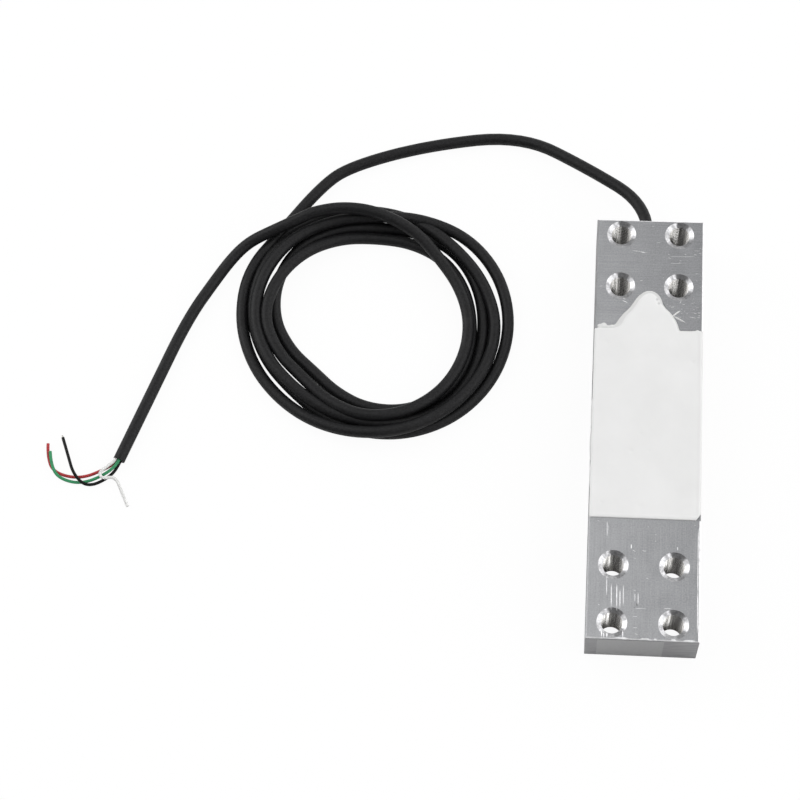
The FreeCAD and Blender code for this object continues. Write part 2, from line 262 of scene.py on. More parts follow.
class Finish:
    """A Principled material and the few things that we do to it. Grain sizes and depths are in
    millimetres."""

    def __init__(self, name, colour, roughness, metallic=0.0):
        self.material = bpy.data.materials.new(name)
        self.material.use_nodes = True
        self.shader = self.material.node_tree.nodes["Principled BSDF"]
        self.shader.inputs["Base Color"].default_value = (*colour, 1)
        self.shader.inputs["Roughness"].default_value = roughness
        self.shader.inputs["Metallic"].default_value = metallic

    def node(self, kind, values=None, **settings):
        """Adds a node; a socket given as a value is linked, and any other value is set."""
        node = self.material.node_tree.nodes.new("ShaderNode" + kind)
        for key, value in settings.items():
            setattr(node, key, value)
        for key, value in (values or {}).items():
            if isinstance(value, bpy.types.NodeSocket):
                self.material.node_tree.links.new(value, node.inputs[key])
            else:
                node.inputs[key].default_value = value
        return node

    def feed(self, socket, name):
        """Links a socket to an input of the shader."""
        self.material.node_tree.links.new(socket, self.shader.inputs[name])

    def place(self):
        """Where a point lies on the piece, in metres."""
        return self.node("TexCoord").outputs["Object"]

    def speckle(self, grain, stretch=(1, 1, 1), detail=3.0):
        """Noise with grains of that size, drawn out by stretch along X, Y and Z."""
        scale = [1000 / (grain * s) for s in stretch]
        place = self.node("Mapping", {"Vector": self.place(), "Scale": scale}).outputs["Vector"]
        return self.node("TexNoise", {"Vector": place, "Scale": 1.0, "Detail": detail}).outputs["Fac"]

    def spread(self, value, low, high, start=0.3, end=0.7):
        """Maps a value from start..end, where noise mostly lies, to low..high."""
        limits = {"Value": value, "From Min": start, "From Max": end, "To Min": low, "To Max": high}
        return self.node("MapRange", limits).outputs["Result"]

    def mix(self, factor, first, second):
        """Mixes two values or two sockets."""
        return self.node("Mix", {0: factor, 2: first, 3: second}).outputs[0]

    def shade(self, value, dark, light):
        """Colours the shader between two colours."""
        mix = self.node("Mix", {0: value, 6: (*dark, 1), 7: (*light, 1)}, data_type="RGBA")
        self.feed(mix.outputs[2], "Base Color")

    def cross(self, first, second):
        """The direction square to two others."""
        sides = {0: first, 1: second}
        return self.node("VectorMath", sides, operation="CROSS_PRODUCT").outputs[0]

    def turned(self, share):
        """Spreads highlights up and down the slope, as fine tool marks round a hole do."""
        facing = self.node("NewGeometry").outputs["Normal"]
        around_hole = self.cross(facing, (0, 0, 1))
        self.feed(self.cross(facing, around_hole), "Tangent")
        self.shader.inputs["Anisotropic"].default_value = share

    def bump(self, value, depth):
        """Raises the surface a little where the value is high."""
        node = self.node("Bump", {"Height": value, "Distance": depth / 1000, "Strength": 1.0})
        self.feed(node.outputs["Normal"], "Normal")

    def paint(self, *pieces):
        """Makes this the only finish of the pieces."""
        for piece in pieces:
            piece.data.materials.clear()
            piece.data.materials.append(self.material)


def darker(colour, share):
    """The colour with that share of its light."""
    return tuple(share * channel for channel in colour)


# %% [markdown]
# ## Jacket and core insulation
# The jacket is black PVC with a satin skin: nearly black, a soft broad highlight and a very fine grain
# from the extruder. The cores have a smoother skin without grain. A darker tint of the same colour,
# spread by noise, keeps each of them from looking like flat paint.

# %% Jacket and cores
jacket = Finish("black_jacket", (0.006, 0.006, 0.0065), 0.5)
jacket_grain = jacket.speckle(0.7)
jacket.shade(jacket.spread(jacket_grain, 0, 1), (0.003, 0.003, 0.0033), (0.012, 0.012, 0.013))
jacket.feed(jacket.spread(jacket.speckle(4.0), 0.42, 0.55), "Roughness")
jacket.shader.inputs["Specular IOR Level"].default_value = 0.22
jacket.bump(jacket_grain, 0.03)
jacket.paint(cable)

tint_depth = 0.85
core_colours = {
    "red": (0.42, 0.045, 0.05),
    "green": (0.045, 0.27, 0.12),
    "black": (0.004, 0.004, 0.004),
    "white": (0.735, 0.735, 0.725),
}
for colour, tint in core_colours.items():
    insulation = Finish("insulation_" + colour, tint, 0.4)
    insulation.shader.inputs["Specular IOR Level"].default_value = 0.15
    insulation.shade(insulation.spread(insulation.speckle(1.5), 0, 1), darker(tint, tint_depth), tint)
    insulation.paint(cores[colour], frame["nodes"]["inner_core_" + colour])
print("a jacket and", len(core_colours), "core colours")

# %% [markdown]
# ## The silicone
# White silicone was poured over the gauges and into the wiring pocket. It set with a soft raised rim
# that follows the recess, spread a little past the pocket and ran over at one corner. A box would look
# like plastic, so the pour is put together from simple solids: a slab with a rounded edge, cut from a
# flat outline, a thin skirt round the pocket, the fill in the window below and a few flattened lumps.
# A voxel remesh then melts them into one skin, and a little smoothing and noise make it look poured.

# %% Slabs, lumps and blocks


def link(name, data):
    """An object for some data, put into the scene."""
    piece = bpy.data.objects.new(name, data)
    scene.collection.objects.link(piece)
    return piece


def settled_mesh(piece):
    """The mesh that a piece's curve or modifiers give."""
    depsgraph = bpy.context.evaluated_depsgraph_get()
    return bpy.data.meshes.new_from_object(piece.evaluated_get(depsgraph))


def rounded_slab(outline, low, high, rounding):
    """A closed slab with a rounded rim; the outline is (x, y, handle) points of a Bezier loop."""
    curve = bpy.data.curves.new("slab", "CURVE")
    curve.dimensions = "2D"
    curve.fill_mode = "BOTH"
    curve.extrude = (high - low) / 2000 - rounding / 1000
    curve.bevel_depth = rounding / 1000
    curve.bevel_resolution = 3
    curve.offset = -rounding / 1000
    spline = curve.splines.new("BEZIER")
    spline.bezier_points.add(len(outline) - 1)
    spline.use_cyclic_u = True
    for target, (x, y, handle) in zip(spline.bezier_points, outline):
        target.co = mm(x, y, 0)
        target.handle_left_type = handle
        target.handle_right_type = handle
    holder = link("slab", curve)
    holder.location.z = (low + high) / 2000
    bpy.context.view_layer.update()
    mesh = settled_mesh(holder)
    mesh.transform(holder.matrix_world)
    bpy.data.objects.remove(holder)
    return mesh


def add_lump(shape, middle, half):
    """A flattened ball."""
    matrix = Matrix.Translation(mm(*middle)) @ Matrix.Diagonal((*mm(*half), 1))
    bmesh.ops.create_uvsphere(shape, u_segments=20, v_segments=12, radius=1, matrix=matrix)


def add_block(shape, low, high):
    """A box between two corners."""
    low, high = mm(*low), mm(*high)
    matrix = Matrix.Translation((low + high) / 2) @ Matrix.Diagonal((*(high - low), 1))
    bmesh.ops.create_cube(shape, size=1, matrix=matrix)


# %% Pouring
# Each wave of the skin: how close together, per metre, and how high, in millimetres.
skin_waves = [(140, 0.03), (600, 0.01)]
facing_up = 0.5


def poured(name, shape, grain, keep, relief):
    """Melts the solids of a bmesh into one soft skin; keep is the share of triangles that stays, and
    relief gives how far the top stands up at a place."""
    mesh = bpy.data.meshes.new(name)
    shape.to_mesh(mesh)
    shape.free()
    piece = link(name, mesh)
    melt = piece.modifiers.new("melt", "REMESH")
    melt.mode = "VOXEL"
    melt.voxel_size = grain / 1000
    soften = piece.modifiers.new("soften", "SMOOTH")
    soften.factor = 0.5
    soften.iterations = 4
    mesh = settled_mesh(piece)
    normals = [vertex.normal.copy() for vertex in mesh.vertices]
    for vertex, normal in zip(mesh.vertices, normals):
        wave = sum(noise.noise(vertex.co * closeness) * height for closeness, height in skin_waves)
        if normal.z > facing_up:
            wave += relief(vertex.co.x * 1000, vertex.co.y * 1000)
        vertex.co += normal * wave / 1000
    piece.modifiers.clear()
    piece.data = mesh
    thin = piece.modifiers.new("thin", "DECIMATE")
    thin.ratio = keep
    piece.data = settled_mesh(piece)
    piece.modifiers.clear()
    piece.data.shade_smooth()
    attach(piece, "root")
    print(name, len(piece.data.polygons), "faces")
    return piece


# %% Outlines of the pour
top_height = bar_high.z * 1000
half_width = bar_high.x * 1000
window_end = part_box("silicone_bottom")[1].y * 1000
missing_width = 1.7
missing_length = 2.4
flat_outline = [
    (-half_width, -window_end, "VECTOR"),
    (half_width - missing_width, -window_end, "VECTOR"),
    (half_width, -window_end + missing_length, "VECTOR"),
    (half_width, window_end - 0.3, "VECTOR"),
    (16.4, window_end, "AUTO"),
    (14.3, window_end - 0.2, "AUTO"),
    (9.8, window_end - 0.3, "VECTOR"),
    (9.2, 36.1, "AUTO"),
    (7.6, 39.0, "AUTO"),
    (4.6, 42.5, "AUTO"),
    (2.4, 46.0, "AUTO"),
    (0.0, 47.2, "AUTO"),
    (-2.4, 45.8, "AUTO"),
    (-5.3, 41.4, "AUTO"),
    (-7.8, 38.3, "AUTO"),
    (-9.9, 34.8, "AUTO"),
    (-12.0, window_end, "VECTOR"),
    (-half_width, window_end - 0.1, "VECTOR"),
]
skirt_outline = [
    (10.5, window_end - 1, "VECTOR"),
    (10.4, 34.2, "AUTO"),
    (9.8, 36.3, "AUTO"),
    (8.2, 39.3, "AUTO"),
    (5.2, 42.9, "AUTO"),
    (3.1, 47.0, "AUTO"),
    (0.0, 48.4, "AUTO"),
    (-3.1, 46.9, "AUTO"),
    (-6.7, 41.9, "AUTO"),
    (-9.3, 38.9, "AUTO"),
    (-11.4, 35.2, "AUTO"),
    (-11.6, window_end - 1, "VECTOR"),
]
print("the window is", round(2 * window_end, 1), "mm long; one corner of the pour is missing")

# %% Lumps, dents and bead
overflow_lumps = [
    ((-16.6, 34.7, top_height), (1.0, 0.9, 0.35)),
    ((-15.3, 35.1, top_height), (1.1, 1.0, 0.4)),
    ((-13.8, 34.6, top_height), (1.2, 0.6, 0.35)),
    ((-12.4, 34.8, top_height), (1.2, 0.6, 0.4)),
    ((-11.2, 35.3, top_height), (0.5, 0.5, 0.3)),
    ((16.6, 34.0, top_height), (0.5, 0.4, 0.25)),
]
side_lumps = [
    ((-half_width, 3.0, top_height - 0.5), (0.35, 5.5, 0.6)),
    ((-half_width, -8.0, top_height - 0.6), (0.45, 6.0, 0.7)),
    ((-half_width, -19.0, top_height - 0.5), (0.25, 4.5, 0.6)),
]
dents = [
    (2.6, 45.0, 0.5, 0.4),
    (3.2, 43.6, 0.5, 0.4),
    (-2.0, -4.1, 0.6, 0.1),
    (-5.1, -10.3, 0.7, 0.12),
    (0.9, -10.2, 0.5, 0.08),
    (-1.7, -29.8, 1.2, 0.1),
    (15.2, 22.2, 0.6, 0.12),
    (-14.5, -28.8, 0.5, 0.1),
    (-14.1, 28.6, 0.6, 0.1),
]
bead_from_edge = 1.0
bead_height = 0.06
bead_width = 0.35


def top_relief(x, y):
    """A faint bead along the edges, and a few dents."""
    from_edge = min(half_width - abs(x), y + window_end)
    height = bead_height * math.exp(-((from_edge - bead_from_edge) / bead_width) ** 2)
    for dent_x, dent_y, radius, depth in dents:
        height -= depth * math.exp(-((x - dent_x) ** 2 + (y - dent_y) ** 2) / radius ** 2)
    return height


# %% Silicone on the top side
window_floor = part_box("terminal_board")[0].z * 1000
rim_top = cad_high.z * 1000 - 0.12
slab_sink = 0.2
slab_rounding = 0.25
skirt_sink = 0.3
skirt_height = 0.2
skirt_rounding = 0.1
shy = 0.05
overlap = 0.1
fine_grain = 0.25
fine_keep = 0.45
corner_x = half_width - missing_width
pour = bmesh.new()
pour.from_mesh(rounded_slab(flat_outline, top_height - slab_sink, rim_top, slab_rounding))
pour.from_mesh(rounded_slab(skirt_outline, top_height - skirt_sink, top_height + skirt_height,
                            skirt_rounding))
add_block(pour, (-half_width + shy, -window_end + shy, window_floor),
          (corner_x, window_end - shy, top_height))
add_block(pour, (corner_x - overlap, -window_end + missing_length, window_floor),
          (half_width - shy, window_end - shy, top_height))
for middle, half in overflow_lumps + side_lumps:
    add_lump(pour, middle, half)
silicone = poured("poured_silicone_top", pour, fine_grain, fine_keep, top_relief)
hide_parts("silicone_top")

# %% Silicone on the underside
under_low = 0.25
under_high = 1.6
coarse_grain = 0.4
coarse_keep = 0.4
under = bmesh.new()
add_block(under, (-half_width + shy, -window_end + shy, under_low),
          (half_width - shy, window_end - shy, under_high))
silicone_under = poured("poured_silicone_bottom", under, coarse_grain, coarse_keep, lambda x, y: 0)
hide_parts("silicone_bottom")

# %% [markdown]
# ## Finish of the silicone
# Set silicone is white and a little cloudy, with a faintly rough skin. Where it runs out to a thin film
# round the pocket it is painted grey: partly the metal showing through, partly painted shade for the step
# at the edge of the pour. Real translucence would need a slow shader, so the finish looks at the height
# instead: just above the bar's top face the pour is thin, and further up, or down in the window, it is
# thick.

# %% White silicone
# The film grey is partly painted shade for the step at the edge of the pour and partly metal showing
# through; the clouds reach a little way towards it.
film_shade_and_cloud_grey = (0.51, 0.51, 0.507)
thick_white = (0.731, 0.731, 0.728)
film_shade_share = 0.42
cloud_share = 0.83
film_top = top_height + 0.22
thick_above = top_height + 0.38
film_bottom = top_height - 0.05
thick_below = top_height - 0.15


def silicone_finish(name):
    """A white finish with a faintly rough skin, and the clouds in it."""
    finish = Finish(name, thick_white, 0.5)
    finish.bump(finish.speckle(0.8), 0.01)
    return finish, finish.spread(finish.speckle(14.0), cloud_share, 1)


white_silicone, clouds = silicone_finish("white_silicone")
white_silicone.shade(clouds, film_shade_and_cloud_grey, thick_white)
white_silicone.paint(silicone_under)

film_shaded, clouds = silicone_finish("thin_edged_silicone")
height = film_shaded.node("SeparateXYZ", {0: film_shaded.place()}).outputs["Z"]
# Painted shade: the pour is greyed in a band just above and at the bar's top face.
above = film_shaded.spread(height, 0, 1, film_top / 1000, thick_above / 1000)
below = film_shaded.spread(height, 1, 0, thick_below / 1000, film_bottom / 1000)
unshaded_thickness = film_shaded.node("Math", {0: above, 1: below}, operation="MAXIMUM").outputs[0]
film_shaded.shade(film_shaded.mix(unshaded_thickness, film_shade_share, clouds), film_shade_and_cloud_grey, thick_white)
film_shaded.paint(silicone)
print("silicone thins to a film below", round(thick_above - top_height, 2), "mm over the bar")

# %% [markdown]
# ## The bar
# The bar is bare aluminium, and the same metal looks different wherever a different tool touched it:
# the top was face milled, the ends were sawn, the countersinks were cut bright, and the bores are
# polished by the tap. The bevels that face right, forward and back get a pale finish that is painted
# highlight, the bright line along those edges. One material could hide all that behind masks, but it is
# simpler to sort the bar's faces by where they lie and which way they point, and to give each sort its
# own finish.

# %% Milled top
lines_meet = 0.03
# The top is painted darker towards its right side and a little towards the cable end: painted shade for
# the light falling off across the bar.
painted_light_direction = (1, 0.18, 0)
painted_light_reach = 0.029
blotch_share = 0.4
pit_share = 0.5
painted_light_share = 0.5
milled = Finish("milled_aluminium", (0.53, 0.53, 0.54), 0.4, metallic=1.0)
across = milled.speckle(0.35, (50, 1, 1))
along = milled.speckle(0.35, (1, 50, 1))
toward_cable = milled.node("SeparateXYZ", {0: milled.place()}).outputs["Y"]
far_half = milled.spread(toward_cable, 0, 1, -lines_meet, lines_meet)
lines = milled.mix(far_half, along, across)
blotches = milled.mix(blotch_share, lines, milled.speckle(6.0))
pits = milled.mix(pit_share, blotches, milled.speckle(0.5))
painted_light_sides = {0: milled.place(), 1: painted_light_direction}
painted_light_place = milled.node("VectorMath", painted_light_sides, operation="DOT_PRODUCT").outputs["Value"]
pitted = milled.spread(pits, 0, 1, 0.36, 0.64)
# Painted shade: 1 on the left of the top, 0 on the right.
painted_light = milled.spread(painted_light_place, 1, 0, -painted_light_reach, painted_light_reach)
milled.shade(milled.mix(painted_light_share, pitted, painted_light), (0.23, 0.234, 0.243), (0.438, 0.442, 0.453))
milled.feed(milled.spread(milled.speckle(3.0), 0.36, 0.46), "Roughness")
milled.bump(lines, 0.008)
print("milled lines run along the plain end and across the cable end")

# %% Sawn, cut, worn and tapped metal
sawn = Finish("sawn_aluminium", (0.21, 0.21, 0.215), 0.45, metallic=1.0)
saw_lines = sawn.speckle(0.5, (12, 12, 1))
sawn.shade(sawn.spread(saw_lines, 0, 1), (0.202, 0.202, 0.208), (0.303, 0.303, 0.309))
sawn.bump(saw_lines, 0.008)

bright_cut = Finish("bright_cut_aluminium", (0.75, 0.75, 0.76), 0.28, metallic=1.0)
cut_marks = bright_cut.spread(bright_cut.speckle(0.7), 0, 1)
bright_cut.shade(cut_marks, (0.34, 0.34, 0.35), (0.62, 0.62, 0.63))
bright_cut.turned(0.8)

# A pale, half-metallic finish: on the bevels it is painted highlight, the bright line along them; on the
# burrs it is the bright metal of the scratches.
bevel_highlight_and_burr = Finish("painted_bevel_highlight_and_burr", (0.85, 0.85, 0.86), 0.5, metallic=0.6)
highlight_and_rub_marks = bevel_highlight_and_burr.spread(bevel_highlight_and_burr.speckle(1.2), 0, 1)
bevel_highlight_and_burr.shade(highlight_and_rub_marks, (0.72, 0.72, 0.73), (0.95, 0.95, 0.96))

tapped = Finish("tapped_bore", (0.6, 0.59, 0.57), 0.25, metallic=1.0)
tap_streaks = tapped.speckle(0.4, (1, 1, 30))
tapped.shade(tapped.spread(tap_streaks, 0, 1), (0.3, 0.29, 0.275), (0.86, 0.85, 0.83))
tapped.turned(0.9)
tapped.bump(tap_streaks, 0.008)

# %% Sorting the bar's faces
bar = frame["nodes"]["beam_body"]
bar_finishes = [milled, sawn, bright_cut, bevel_highlight_and_burr, tapped]
countersink_radius = 5.0
countersink_depth = 0.6
level_face = 0.95
wall_face = 0.3
edge_reach = 0.001
bolt_holes = []
for mount in frame["record"]["mounts"]:
    if mount["kind"] == "bolt_pattern":
        hole_radius = mount["dims"]["hole_r_mm"]
        for side in (-1, 1):
            for row in (-1, 1):
                x = mount["pos_m"][0] + side * mount["dims"]["spacing_x_mm"] / 2000
                y = mount["pos_m"][1] + row * mount["dims"]["spacing_y_mm"] / 2000
                bolt_holes.append(Vector((x, y)))


def bar_finish(face):
    """Which finish a face of the bar takes."""
    upright = abs(face.normal.z)
    to_hole = min((face.center.xy - hole).length for hole in bolt_holes)
    outside = max(abs(face.center.x) - bar_high.x, abs(face.center.y) - bar_high.y)
    if upright > level_face:
        return milled
    if to_hole < countersink_radius / 1000:
        return bright_cut if upright > wall_face else tapped
    if outside > -edge_reach:
        if upright < wall_face:
            return sawn
        # Bevels that face right, forward or back get the pale finish, which is painted highlight; bevels
        # facing left stay plain.
        if face.normal.x > -wall_face:
            return bevel_highlight_and_burr
        return milled if face.center.y < 0 else sawn
    return tapped


bar.data.materials.clear()
for finish in bar_finishes:
    bar.data.materials.append(finish.material)
for face in bar.data.polygons:
    face.material_index = bar_finishes.index(bar_finish(face))
print("bar faces sorted into", len(bar_finishes), "finishes;", len(bolt_holes), "bolt holes")

# %% [markdown]
# ## Screw threads
# Each bolt hole is tapped. A bump map would give stripes without depth, so the thread is a real ridge:
# a small flat-topped profile carried round and up the bore in a loop, a pitch higher with every turn,
# and faded out at both ends. At the top, where the countersink cuts into the first turn, a plain
# collar with sloping sides fills the gap between the cone and the ridge.

# %% Thread shapes
thread_pitch = 1.25
thread_crest = 3.5
thread_root = hole_radius + 0.03
thread_low = 2.2
thread_high = top_height - 1.35
thread_profile = [(0, -0.27), (1, -0.08), (1, 0.08), (0, 0.27)]
fade_turn = 0.25
steps_per_turn = 28
collar_top = top_height - countersink_depth
collar_profile = [(thread_root, 0), (thread_crest, 0.32), (thread_root, 0.75)]


def around(hole, radius, turn, height):
    """A point at that radius and turn round a hole, in metres; radius and height in millimetres."""
    x = hole.x + radius / 1000 * math.cos(turn)
    y = hole.y + radius / 1000 * math.sin(turn)
    return (x, y, height / 1000)


def join_rings(shape, rings):
    """Skins a row of rings."""
    for one, other in zip(rings, rings[1:]):
        for i in range(len(one)):
            j = (i + 1) % len(one)
            shape.faces.new((one[i], one[j], other[j], other[i]))


def add_thread(shape, hole):
    """One helical ridge in the bore at hole."""
    steps = int((thread_high - thread_low) / thread_pitch * steps_per_turn)
    fade_steps = fade_turn * steps_per_turn
    rings = []
    for step in range(steps + 1):
        turn = 2 * math.pi * step / steps_per_turn
        middle = thread_low + thread_pitch * step / steps_per_turn
        fade = min(1, step / fade_steps, (steps - step) / fade_steps)
        ring = []
        for share, height in thread_profile:
            radius = thread_root - (thread_root - thread_crest) * fade * share
            ring.append(shape.verts.new(around(hole, radius, turn, middle + height)))
        rings.append(ring)
    join_rings(shape, rings)
    shape.faces.new(rings[0])
    shape.faces.new(reversed(rings[-1]))


def add_collar(shape, hole):
    """The first turn of the thread, which the countersink cuts to a slope."""
    rings = []
    for step in range(steps_per_turn):
        turn = 2 * math.pi * step / steps_per_turn
        ring = []
        for radius, depth in collar_profile:
            ring.append(shape.verts.new(around(hole, radius, turn, collar_top - depth)))
        rings.append(ring)
    join_rings(shape, rings + rings[:1])


# %% Threads in the bores


def finished_piece(name, shape, finish):
    """Turns a bmesh into a piece that rides with the part."""
    bmesh.ops.recalc_face_normals(shape, faces=shape.faces)
    mesh = bpy.data.meshes.new(name)
    shape.to_mesh(mesh)
    shape.free()
    piece = link(name, mesh)
    finish.paint(piece)
    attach(piece, "root")
    print(name, len(mesh.polygons), "faces")
    return piece


ridges = bmesh.new()
collars = bmesh.new()
for hole in bolt_holes:
    add_thread(ridges, hole)
    add_collar(collars, hole)
finished_piece("screw_threads", ridges, tapped)
finished_piece("thread_collars", collars, bright_cut)

# %% [markdown]
# ## Scratches, dirt and whiskers
# The bar has been handled: bright scratches run between the holes of the plain end and finer ones lie
# across the cable end. A scratch raises a tiny burr, so each one is a long low sliver that catches the
# light from the side. Two edges carry the same slivers, and there they are painted highlight: the bright
# line that those edges show. The small nicks are scattered by a fixed random draw, because nobody would
# place them one by one. The same sliver, nearly black, makes a speck of dirt, and in white the two
# whiskers that the silicone left beside the wiring pocket.

# %% Slivers
sliver_sink = 0.02
sliver_shoulders = (0.25, 0.7)


def add_sliver(shape, start, end, width, height):
    """A long low tent on the bar's top face, pointed at both ends."""
    ground = top_height - sliver_sink
    start, end = Vector((*start, ground)), Vector((*end, ground))
    run = end - start
    sideways = Vector((-run.y, run.x, 0)).normalized() * width / 2
    up = Vector((0, 0, height + sliver_sink))
    near, far = (start + run * share for share in sliver_shoulders)
    corners = [start, near + sideways, far + sideways, end, far - sideways, near - sideways]
    base = [shape.verts.new(corner / 1000) for corner in corners]
    a, b = shape.verts.new((near + up) / 1000), shape.verts.new((far + up) / 1000)
    for face in ((0, 1, a), (1, 2, b, a), (2, 3, b), (3, 4, b), (4, 5, a, b), (5, 0, a)):
        shape.faces.new([base[v] if isinstance(v, int) else v for v in face])
    shape.faces.new(reversed(base))


# %% Scratches and painted edge highlights
scratches = [
    ((-12.0, -53.6), (-11.9, -61.6), 0.25),
    ((-10.5, -55.4), (-10.3, -65.6), 0.3),
    ((-8.7, -55.4), (-8.5, -65.8), 0.32),
    ((-7.6, -57.6), (-7.5, -65.6), 0.3),
    ((-6.6, -55.4), (-6.4, -65.2), 0.25),
    ((-12.4, -34.2), (-12.2, -41.3), 0.2),
    ((-11.9, -36.0), (-11.9, -39.0), 0.1),
    ((-4.3, -42.4), (-4.2, -44.6), 0.3),
    ((-3.9, -44.6), (-2.6, -45.4), 0.2),
    ((-0.9, -44.8), (1.0, -45.0), 0.2),
    ((10.9, -42.9), (11.0, -44.5), 0.25),
    ((-2.7, -59.0), (-2.7, -62.8), 0.2),
    ((-1.7, -58.6), (-1.6, -64.0), 0.25),
    ((-13.3, -72.2), (-13.2, -74.85), 0.35),
    ((-12.6, -73.2), (-12.5, -74.85), 0.3),
    ((-11.5, -72.9), (-11.5, -74.85), 0.35),
    ((-6.4, -72.0), (-6.3, -74.85), 0.3),
    ((-3.3, -64.6), (1.9, -64.4), 0.18),
    ((6.3, -64.2), (9.8, -64.1), 0.22),
    ((-3.6, -67.3), (-1.5, -67.2), 0.2),
    ((-3.3, -71.0), (-1.4, -71.0), 0.2),
    ((-7.5, 63.6), (0.6, 62.6), 0.16),
    ((-3.4, 62.9), (-1.4, 62.7), 0.2),
    ((4.8, 61.5), (18.0, 61.8), 0.12),
    ((14.6, 63.9), (17.8, 64.0), 0.12),
    ((6.0, 58.9), (12.0, 59.0), 0.12),
    ((-9.4, 44.6), (-7.1, 43.6), 0.3),
    ((-9.0, 45.3), (-7.9, 44.9), 0.25),
    ((16.5, 40.6), (17.8, 40.7), 0.2),
    ((13.2, 39.2), (16.4, 38.6), 0.18),
    ((10.4, 43.8), (11.0, 45.2), 0.18),
]
# The bright stretches along the near edge and the right side are painted highlight: slivers that stand in
# for the light line along those edges.
edge_line = -bar_high.y * 1000 + 0.35
edge_width = 0.6
edge_highlight_stretches = [(-9.5, -4.0), (-0.8, 2.8), (3.6, 4.8), (9.0, 11.0), (13.0, 17.5)]
scratches += [((start, edge_line), (end, edge_line), edge_width) for start, end in edge_highlight_stretches]
side_line = half_width - 0.85
side_width = 0.3
side_highlight_stretches = [(-74.2, -55.0), (-60.0, -44.0), (-50.0, -34.6)]
scratches += [((side_line, start), (side_line, end), side_width) for start, end in side_highlight_stretches]
burr_spread = 0.03
burr_steepness = 8
burr_and_highlight_slivers = bmesh.new()
for start, end, width in scratches:
    add_sliver(burr_and_highlight_slivers, start, end, width + burr_spread, width / burr_steepness)
# The count includes the stretches of painted highlight along two edges.
print(len(scratches), "scratches and worn stretches of edge")

# %% Nicks
nick_zones = [
    ((6, 18), (36, 66), 50),
    ((-18, 6), (49, 74), 14),
    ((-17, 17), (-74, -35), 22),
]
nick_length = 1.8
nick_drift = 0.5
nick_widths = (0.12, 0.22)
nick_height = 0.02
clear_of_holes = 6.5
chance = random.Random(4)
for (left, right), (near, far), count in nick_zones:
    for _ in range(count):
        start = Vector((chance.uniform(left, right), chance.uniform(near, far)))
        reach = (chance.uniform(-nick_length, nick_length), chance.uniform(-nick_drift, nick_drift))
        end = start + Vector(reach)
        end.x = min(max(end.x, left), right)
        if min((start / 1000 - hole).length for hole in bolt_holes) > clear_of_holes / 1000:
            add_sliver(burr_and_highlight_slivers, start, end, chance.uniform(*nick_widths), nick_height)
finished_piece("scratch_burrs_and_edge_highlights", burr_and_highlight_slivers, bevel_highlight_and_burr)

# %% Dirt and whiskers
dried_dirt = Finish("dried_dirt", (0.05, 0.05, 0.05), 0.7)
dried_dirt.shade(dried_dirt.speckle(0.3), (0.02, 0.02, 0.02), (0.1, 0.1, 0.1))
dirt_height = 0.02
dirt = bmesh.new()
add_sliver(dirt, (-2.1, -62.6), (-1.9, -64.1), 0.4, dirt_height)
add_sliver(dirt, (-3.1, -64.3), (-2.6, -64.2), 0.25, dirt_height)
finished_piece("dirt_specks", dirt, dried_dirt)

whisker_width = 0.6
whisker_height = 0.3
whiskers = bmesh.new()
add_sliver(whiskers, (7.7, 38.9), (10.8, 41.4), whisker_width, whisker_height)
add_sliver(whiskers, (8.2, 39.3), (12.6, 36.8), whisker_width, whisker_height)
finished_piece("silicone_whiskers", whiskers, white_silicone)

# %% [markdown]
# ## Label, seal and the pieces inside
# The plain end carries a blank foil label. The gauges, the board and the leads lie under the silicone,
# but they are real pieces, so each has its own finish too: amber film, etched foil, green board, tinned
# pads, black resistors. One list of colours and one loop are enough, because they are small and out of
# sight.

# %% Small finishes
small_grain = 0.7
small_finishes = {
    "label_foil": ((0.312, 0.312, 0.317), 0.4, 0.5, ["end_label"]),
    "seal_compound": ((0.03, 0.03, 0.03), 0.6, 0.0, ["cable_seal"]),
    "amber_film": ((0.6, 0.36, 0.1), 0.35, 0.0, ["gauge_film_"]),
    "etched_foil": ((0.66, 0.56, 0.44), 0.35, 1.0, ["gauge_foil_"]),
    "lead_skin": ((0.75, 0.72, 0.66), 0.4, 0.0, ["gauge_lead_"]),
    "green_board": ((0.05, 0.22, 0.1), 0.4, 0.0, ["terminal_board"]),
    "tinned_pad": ((0.75, 0.75, 0.76), 0.3, 1.0, ["terminal_pads"]),
    "resistor_skin": ((0.03, 0.03, 0.03), 0.4, 0.0, ["zero_resistor", "span_resistor"]),
}
for name, (tint, roughness, metallic, starts) in small_finishes.items():
    small = Finish(name, tint, roughness, metallic)
    small.shade(small.spread(small.speckle(small_grain), 0, 1), darker(tint, tint_depth), tint)
    pieces = [piece for node, piece in frame["nodes"].items() if node.startswith(tuple(starts))]
    small.paint(*pieces)
    print(name, "on", len(pieces), "pieces")

# %% [markdown]
# ## Cut ends of the cores
# A core is a coloured skin round tinned copper strands, and the cut shows them. At this size a short
# round stub, set into the end of the skin, is enough. The black core was nipped, so its stub stands out
# a little further.

# %% Strand ends
strand_diameter = 0.6
strand_radius = strand_diameter / 2000
strand_hidden = 1.0
strand_shown = {"red": 0.05, "green": 0.05, "black": 0.9, "white": 0.05}
tinned_strand = Finish("tinned_strand", (0.4, 0.39, 0.37), 0.4, metallic=0.8)
tinned_strand.shade(tinned_strand.speckle(0.2), (0.3, 0.29, 0.27), (0.5, 0.49, 0.47))
stubs = bmesh.new()
for colour, (_, far_points) in core_routes.items():
    cut = Vector(far_points[-1])
    outward = (cut - Vector(far_points[-2])).normalized()
    middle = cut + outward * (strand_shown[colour] - strand_hidden) / 2
    turn = outward.to_track_quat("Z", "Y").to_matrix().to_4x4()
    stub_length = (strand_shown[colour] + strand_hidden) / 1000
    bmesh.ops.create_cone(stubs, cap_ends=True, segments=12, radius1=strand_radius, radius2=strand_radius,
                          depth=stub_length, matrix=Matrix.Translation(middle / 1000) @ turn)
